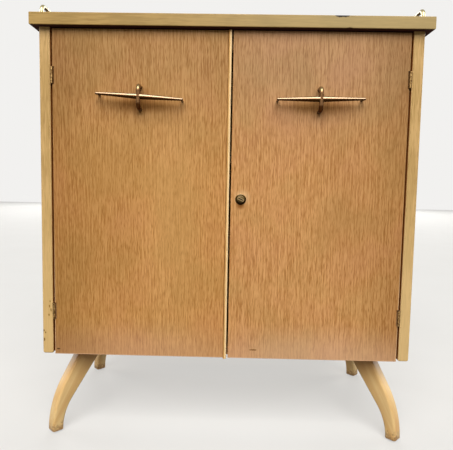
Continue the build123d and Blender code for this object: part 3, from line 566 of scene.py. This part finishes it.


# ---------------------------------------------------------------------------
# Brass: the rails along the top and the door handles are turned and bent
# rod, polished and lacquered. Faces turned up carry a painted highlight, a
# painted reflection of the light above, and faces turned down are painted
# brown, partly tarnish and partly a painted reflection of a dark ground.
# Hinges and fittings were never polished.
# ---------------------------------------------------------------------------
def polished_brass(name, top, front, shade):
    """Polished brass with a painted highlight where it faces up, a painted reflection of the light above, and
    brown below, partly tarnish and partly a painted reflection of a dark ground.
    """
    finish, tree, surface = new_finish(name)
    place = add_node(tree, "TexCoord").outputs["Object"]
    tarnish = add_node(
        tree, "TexNoise", {"Vector": place, "Scale": per_metre(6.2), "Detail": 4.0},
    ).outputs["Fac"]
    upward = add_node(tree, "SeparateXYZ", {0: add_node(tree, "TexCoord").outputs["Normal"]}).outputs["Z"]
    painted_highlight_share = add_node(tree, "Math", {0: tarnish, 1: 0.35, 2: upward}, operation="MULTIPLY_ADD").outputs[0]
    # Painted reflection: faces turned down take the dark colour, as if mirroring a dark ground.
    metal = blend_colours(tree, between(tree, upward, -0.30, 0.10), linear(shade), linear(front))
    # Painted highlight: faces turned up take the bright top colour, mirroring the light above.
    metal = lay_over(tree, metal, top, between(tree, painted_highlight_share, 0.20, 0.70))
    dulled = {"Value": tarnish, "From Min": 0.3, "From Max": 0.7, "To Min": 0.20, "To Max": 0.34}
    rough = add_node(tree, "MapRange", dulled).outputs[0]
    put_on(tree, surface, {"Base Color": metal, "Roughness": rough, "Metallic": 1.0})
    return finish


def aged_brass(name, deep, worn):
    """Brass that was never polished again: brown, a little rough, lighter where it rubs."""
    finish, tree, surface = new_finish(name)
    place = add_node(tree, "TexCoord").outputs["Object"]
    patina = add_node(
        tree, "TexNoise", {"Vector": place, "Scale": per_metre(4.2), "Detail": 4.0},
    ).outputs["Fac"]
    brown = blend_colours(tree, between(tree, patina, 0.38, 0.66), linear(deep), linear(worn))
    rough = add_node(tree, "MapRange", {"Value": patina, "To Min": 0.5, "To Max": 0.32}).outputs[0]
    bump = add_node(tree, "Bump", {"Height": patina, "Strength": 0.15, "Distance": 0.0003}).outputs[0]
    put_on(tree, surface, {"Base Color": brown, "Roughness": rough, "Normal": bump, "Metallic": 1.0})
    return finish


dress(
    polished_brass("rail_brass", "#A89C74", "#D0C298", "#3A3218"),
    "left_gallery_rail", "right_gallery_rail", "gallery_rosettes",
)
dress(polished_brass("bar_brass", "#A28C72", "#947454", "#321C06"), "left_handle_bar", "right_handle_bar")
dress(polished_brass("bow_brass", "#AA986E", "#7E5C3C", "#44260E"), "left_handle_bow", "right_handle_bow")
dress(
    aged_brass("hinge_brass", "#5C4020", "#A88858"),
    "hinge_frame_leaves", "hinge_frame_screws", "hinge_pins",
    "left_hinge_door_leaves", "left_hinge_door_screws", "right_hinge_door_leaves", "right_hinge_door_screws",
    "bolt_keeper", "bolt_plate", "left_door_bolt", "lock_keeper",
    "left_fitting_screws", "right_fitting_screws",
)


# ---------------------------------------------------------------------------
# The lock: a turned brass barrel through the right door, held by a nut at
# the back, with a plug that the key turns. Hands have made it almost black.
# It is painted lighter towards the top, with a painted highlight on its upper
# rim; its keyway is painted black inside as shade, and the metal beside the
# keyway is paler.
# ---------------------------------------------------------------------------
lock_low, lock_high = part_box("lock_housing")
plug_low, plug_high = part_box("lock_plug")
keyway_lean = math.radians(-25)
keyway_side = (-math.sin(keyway_lean), 0, math.cos(keyway_lean))
# Widths of the paler bands along both sides of the keyway.
pale_beside_keyway, pale_band_ends = 0.0018, 0.0042
keyway_shade_start, keyway_shade_full = 0.0006, 0.0012


def lock_brass(name, deep, worn, has_keyway):
    """Almost black brass, painted lighter towards the top as painted light, with a painted highlight on its
    upward faces round the rim; a keyway is painted black inside as painted shade, with paler metal along both
    its sides."""
    finish, tree, surface = new_finish(name)
    place = add_node(tree, "TexCoord").outputs["Object"]
    spot = add_node(tree, "SeparateXYZ", {0: place})
    patina = add_node(
        tree, "TexNoise", {"Vector": place, "Scale": per_metre(2.4), "Detail": 3.0},
    ).outputs["Fac"]
    ragged = {0: patina, 1: 0.010, 2: spot.outputs["Z"]}
    height = add_node(tree, "Math", ragged, operation="MULTIPLY_ADD").outputs[0]
    # Painted light: lighter towards the top.
    lighter = between(tree, height, lock_low.z + 0.008, lock_high.z + 0.003)
    brown = blend_colours(tree, lighter, linear(deep), linear(worn))
    # Painted highlight on the upward faces round the rim.
    brown = lay_over(tree, brown, "#D8BC90", facing_share(tree, "Z", 0.30, 0.80))
    if has_keyway:
        from_middle = add_node(
            tree, "VectorMath", {0: place, 1: (plug_low + plug_high) / 2}, operation="SUBTRACT",
        ).outputs[0]
        aside = add_node(
            tree, "VectorMath", {0: from_middle, 1: keyway_side}, operation="DOT_PRODUCT",
        ).outputs["Value"]
        aside = add_node(tree, "Math", {0: aside}, operation="ABSOLUTE").outputs[0]
        brown = lay_over(tree, brown, "#C8A878", between(tree, aside, pale_band_ends, pale_beside_keyway), 0.50)
        # Painted shade: the keyway is painted black inside.
        deep_from, deep_to = plug_low.y + keyway_shade_start, plug_low.y + keyway_shade_full
        brown = lay_over(tree, brown, "#0A0602", between(tree, spot.outputs["Y"], deep_from, deep_to))
    rough = add_node(tree, "MapRange", {"Value": patina, "To Min": 0.42, "To Max": 0.28}).outputs[0]
    put_on(tree, surface, {"Base Color": brown, "Roughness": rough, "Metallic": 1.0})
    return finish


dress(lock_brass("lock_case_brass", "#1A1006", "#54421F", has_keyway=False), "lock_housing")
dress(lock_brass("lock_plug_brass", "#2A1E0E", "#806C46", has_keyway=True), "lock_plug")


# ---------------------------------------------------------------------------
# Catches and buffers: magnetic catches in moulded nylon cases, screwed under
# the front rail, and thin pads of pressed felt, stuck on the case where the
# doors close on it. An open door shows them.
# ---------------------------------------------------------------------------
def nylon():
    """Moulded nylon: cream, slightly waxy."""
    finish, tree, surface = new_finish("moulded_nylon")
    place = add_node(tree, "TexCoord").outputs["Object"]
    cloud = add_node(
        tree, "TexNoise", {"Vector": place, "Scale": per_metre(11.1), "Detail": 2.0},
    ).outputs["Fac"]
    cream = blend_colours(tree, cloud, linear("#CFC6AE"), linear("#DCD5C2"))
    put_on(tree, surface, {"Base Color": cream, "Roughness": 0.45, "Subsurface Weight": 0.1})
    return finish


def felt():
    """Pressed wool felt: green, matted, with a soft nap."""
    finish, tree, surface = new_finish("pressed_felt")
    place = add_node(tree, "TexCoord").outputs["Object"]
    nap = add_node(
        tree, "TexNoise", {"Vector": place, "Scale": per_metre(0.667), "Detail": 3.0},
    ).outputs["Fac"]
    green = blend_colours(tree, nap, linear("#2E3A26"), linear("#4A5A3C"))
    bump = add_node(tree, "Bump", {"Height": nap, "Strength": 0.5, "Distance": 0.0003}).outputs[0]
    put_on(tree, surface, {"Base Color": green, "Normal": bump, "Roughness": 0.95, "Sheen Weight": 0.4})
    return finish


dress(nylon(), "magnetic_catches")
dress(felt(), "door_buffers")


# ---------------------------------------------------------------------------
# The doors: boards veneered in oak with the grain upright, hung on brass
# butts. Their veneer is toned unevenly in patches, and painted shade darkens
# it towards the top and the hinges and under the lock and each handle; their
# hinge edges are painted brown as shade. The half-round meeting strip on the
# left door is solid oak.
# ---------------------------------------------------------------------------
top_shade_from, top_shade_to = 0.60, 0.94
hinge_shade_width = 0.12
handle_shadow_reach, handle_shadow_drop = (0.115, 0.020, 0.026), 0.006
lock_ring_reach, lock_ring_offset = (0.024, 0.02, 0.024), 0.004
lock_shadow_reach = (0.014, 0.02, 0.016)
bare_arris_from, bare_arris_to = 0.0020, 0.0012
wear_from_height, wear_full_height = 0.55, 0.35
bottom_line_top, bottom_line_full = 0.0024, 0.0016


def soft_patch(tree, place, middle, reach):
    """A soft patch: 1 in its middle, and 0 where it ends."""
    return between(tree, spread(tree, place, middle, reach), 1.0, 0.25)


def veneer_door(side, colours, patches, scuffs):
    """Oak veneer, with painted shade that darkens it towards the top and the hinges, a painted shadow under
    the handle and under the lock, and worn bare low down. A patch, paler or darker, is its middle, its reach,
    its share and its colour."""
    panel = side + "_door_panel"
    finish = oak_veneer(side + "_door_oak", "Z", *colours)
    tree, surface, wood = opened(finish)
    door_low, door_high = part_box(panel)
    place = add_node(tree, "TexCoord").outputs["Object"]
    spot = add_node(tree, "SeparateXYZ", {0: place})
    height = spot.outputs["Z"]
    sideways = add_node(tree, "Math", {0: spot.outputs["X"]}, operation="ABSOLUTE").outputs[0]
    hinge_edge = max(abs(door_low.x), abs(door_high.x))

    # Painted shade: darker towards the top and towards the hinge edge.
    top_shade = between(tree, height, top_shade_from, top_shade_to)
    wood = blend_colours(tree, top_shade, wood, linear("#E0E4EC"), "MULTIPLY")
    hinge_shade = between(tree, sideways, hinge_edge - hinge_shade_width, hinge_edge)
    wood = blend_colours(tree, hinge_shade, wood, linear("#E2DED4"), "MULTIPLY")

    lock_middle = (lock_low + lock_high) / 2
    ring_middle = (lock_middle.x + lock_ring_offset, door_low.y, lock_middle.z + lock_ring_offset)
    wood = lay_over(tree, wood, "#E8C490", soft_patch(tree, place, ring_middle, lock_ring_reach), 0.45)
    # Painted shadow on the veneer under the lock.
    painted_lock_shadow = soft_patch(tree, place, (lock_middle.x, door_low.y, lock_low.z), lock_shadow_reach)
    wood = blend_colours(tree, painted_lock_shadow, wood, linear("#B09870"), "MULTIPLY")

    for middle, reach, most, colour in patches:
        wood = lay_over(tree, wood, colour, soft_patch(tree, place, middle, reach), most)

    bar_low, bar_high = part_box(side + "_handle_bar")
    # Painted shadow on the veneer under the handle bar.
    shadow_middle = ((bar_low.x + bar_high.x) / 2, door_low.y, bar_low.z - handle_shadow_drop)
    painted_handle_shadow = soft_patch(tree, place, shadow_middle, handle_shadow_reach)
    wood = blend_colours(tree, painted_handle_shadow, wood, linear("#D2C4A6"), "MULTIPLY")

    arris = between(tree, sideways, hinge_edge - bare_arris_from, hinge_edge - bare_arris_to)
    low_down = between(tree, height, wear_from_height, wear_full_height)
    wood = lay_over(tree, wood, "#E2B88A", times(tree, arris, low_down), 0.6)
    bottom_line = between(tree, height, door_low.z + bottom_line_top, door_low.z + bottom_line_full)
    wood = lay_over(tree, wood, "#DDB088", bottom_line, 0.7)
    for middle, reach, colour in scuffs:
        wood = lay_over(tree, wood, colour, worn_spot(tree, place, middle, reach))
    put_on(tree, surface, {"Base Color": wood})

    # Painted shade: edge faces in the hinge gap are painted brown. Painted light: the meeting edge faces are
    # painted pale, standing in for light in the meeting gap.
    hinge_way = -1 if side == "left" else 1
    stain_faces(finish, ("X", hinge_way, gap_painted_shade), ("X", -hinge_way, "#E0A860"))
    dress(finish, panel)


veneer_door(
    "left",
    colours=("#D09A5C", "#A87236", "#AE8446", "#C88A58"),
    patches=(
        ((-0.20, -0.204, 0.18), (0.40, 0.1, 0.13), 0.35, "#C89E80"),
        ((-0.30, -0.204, 0.50), (0.13, 0.1, 0.28), 0.20, "#8A5C28"),
        ((-0.37, -0.204, 0.22), (0.14, 0.1, 0.07), 0.26, "#8A5C2C"),
        ((-0.13, -0.204, 0.55), (0.10, 0.1, 0.60), 0.08, "#EABA7A"),
    ),
    scuffs=(((-0.403, -0.204, 0.2175), (0.005, 0.004, 0.0022), "#5C3F1E"),),
)
veneer_door(
    "right",
    colours=("#D49E64", "#AA743C", "#B28A50", "#CE9064"),
    patches=(
        ((0.22, -0.204, 0.18), (0.40, 0.1, 0.13), 0.45, "#D2AC8C"),
        ((0.20, -0.204, 0.92), (0.30, 0.1, 0.24), 0.10, "#C4A68C"),
        ((0.29, -0.204, 0.57), (0.11, 0.1, 0.26), 0.20, "#8A5C2C"),
    ),
    scuffs=(((0.068, -0.204, 0.226), (0.010, 0.004, 0.0022), "#8A6238"),),
)


def strip_oak():
    """Solid oak with a painted highlight on the strip's right shoulder and painted shade on its left; its
    right side face, in the meeting gap, is painted darker as shade.
    """
    finish = solid_oak("strip_oak", "Z", "#E2B06C", "#D09C58")
    tree, surface, wood = opened(finish)
    # Painted highlight on the right shoulder, painted shade on the left side and in the gap.
    wood = lay_over(tree, wood, "#FFDEA6", facing_share(tree, "X", -0.25, 0.35))
    wood = lay_over(tree, wood, "#8E6432", facing_share(tree, "X", -0.60, -0.90))
    wood = lay_over(tree, wood, "#C89458", facing_share(tree, "X", 0.95, 1.00))
    put_on(tree, surface, {"Base Color": wood})
    return finish


dress(strip_oak(), "meeting_strip")


# ---------------------------------------------------------------------------
# The studio: a pale floor, a broad soft lamp above and in front, fill lamps
# far behind and at both sides, and an even pale surround.
# ---------------------------------------------------------------------------
def shown_share(tree):
    """1 where the eye, glass or bright metal sees a thing, and 0 where it only lights the cabinet."""
    rays = add_node(tree, "LightPath")
    seen = add_node(
        tree, "Math", {0: rays.outputs["Is Camera Ray"], 1: rays.outputs["Is Transmission Ray"]},
        operation="MAXIMUM",
    ).outputs[0]
    return add_node(tree, "Math", {0: seen, 1: rays.outputs["Is Glossy Ray"]}, operation="MAXIMUM").outputs[0]


def pale_floor():
    """Matt pale floor, darker to the rays that light the cabinet, so that it throws little light up at it."""
    finish, tree, surface = new_finish("pale_floor")
    place = add_node(tree, "TexCoord").outputs["Object"]
    dust = add_node(
        tree, "TexNoise", {"Vector": place, "Scale": per_metre(333), "Detail": 3.0},
    ).outputs["Fac"]
    pale = blend_colours(tree, dust, linear("#D6D4CF"), linear("#DEDCD8"))
    shown = shown_share(tree)
    tone = blend_colours(tree, shown, linear("#6E6A64"), pale)
    put_on(tree, surface, {"Base Color": tone, "Roughness": 0.9, "Specular IOR Level": 0.1})
    glow = add_node(tree, "Emission", {"Color": linear("#EAE9E6"), "Strength": 1.0}).outputs[0]
    either = add_node(tree, "MixShader", {0: times(tree, shown, 0.50), 1: surface.outputs["BSDF"], 2: glow})
    output = next(n for n in tree.nodes if n.type == "OUTPUT_MATERIAL")
    put_on(tree, output, {"Surface": either.outputs[0]})
    return finish


floor_reach = 12.0
floor_corners = [(x * floor_reach, y * floor_reach, 0) for x, y in ((-1, -1), (1, -1), (1, 1), (-1, 1))]
floor_mesh = bpy.data.meshes.new("studio_floor")
floor_mesh.from_pydata(floor_corners, [], [(0, 1, 2, 3)])
floor_mesh.materials.append(pale_floor())
floor = bpy.data.objects.new("studio_floor", floor_mesh)
scene.collection.objects.link(floor)

# Each lamp's name, place, aim, width and height in metres, and watts.
for name, place, aim, width, height, watts in (
    ("sky_lamp", (0.0, -6.1, 6.3), (0.0, -0.2, 0.6), 8.0, 6.4, 1030.0),
    ("back_lamp", (0.0, 11.5, 3.9), (0.0, 0.2, 0.6), 10.0, 4.0, 1150.0),
    ("left_lamp", (-10.5, 4.0, 3.6), (0.0, 0.1, 0.6), 6.0, 4.0, 480.0),
    ("right_lamp", (10.5, 4.0, 3.6), (0.0, 0.1, 0.6), 6.0, 4.0, 480.0),
):
    lamp = bpy.data.lights.new(name, "AREA")
    lamp.shape = "RECTANGLE"
    lamp.size, lamp.size_y = width, height
    lamp.energy = watts
    holder = bpy.data.objects.new(name, lamp)
    holder.location = place
    holder.rotation_euler = (Vector(aim) - Vector(place)).to_track_quat("-Z", "Y").to_euler()
    scene.collection.objects.link(holder)

world = bpy.data.worlds.new("studio")
world.use_nodes = True
scene.world = world
sky = world.node_tree
sky.nodes.clear()
light = add_node(sky, "Background", {"Color": linear("#FFFFFF"), "Strength": 0.08})
surround = add_node(sky, "Background", {"Color": linear("#F2F1EF"), "Strength": 1.0})
either = add_node(sky, "MixShader", {0: shown_share(sky), 1: light.outputs[0], 2: surround.outputs[0]})
add_node(sky, "OutputWorld", {"Surface": either.outputs[0]})
